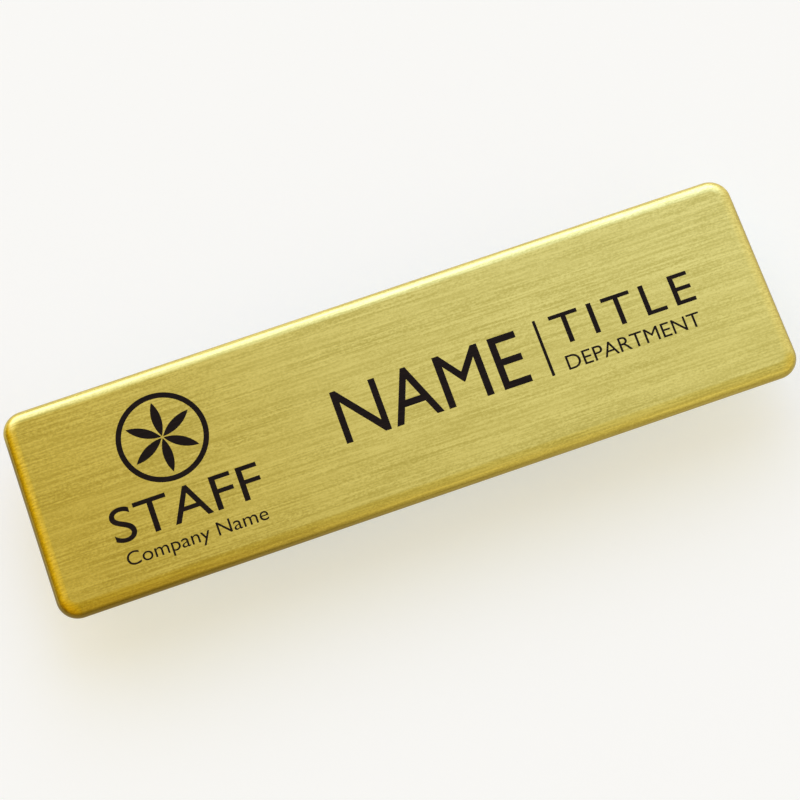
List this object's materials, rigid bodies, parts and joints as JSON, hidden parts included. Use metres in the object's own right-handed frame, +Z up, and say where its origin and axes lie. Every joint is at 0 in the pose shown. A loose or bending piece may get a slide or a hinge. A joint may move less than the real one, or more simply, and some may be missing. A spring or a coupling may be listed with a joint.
{
  "type": "name badge",
  "caption": "Flat brushed-metal name badge: a long plate with small round corners and rounded front edges, and a fixed bar pin with an open catch on its back.",
  "frame": {"origin": "on the surface that the badge lies on, under the middle of the plate", "axes": "+X along the plate's long side, towards the open catch of the pin; +Z up, out of the printed front; +Y towards the upper edge of the badge as it is worn"},
  "size_m": [0.07, 0.02, 0.0063],
  "materials": {
    "brushed_gold": "fine brushed lines along the plate, clear lacquer",
    "pin_steel": "nickel-plated, satin",
    "black_print": "flat printed ink, satin"
  },
  "bodies": {
    "root": {"plate": "brushed_gold", "bar_pin": "pin_steel"}
  },
  "joints": []
}
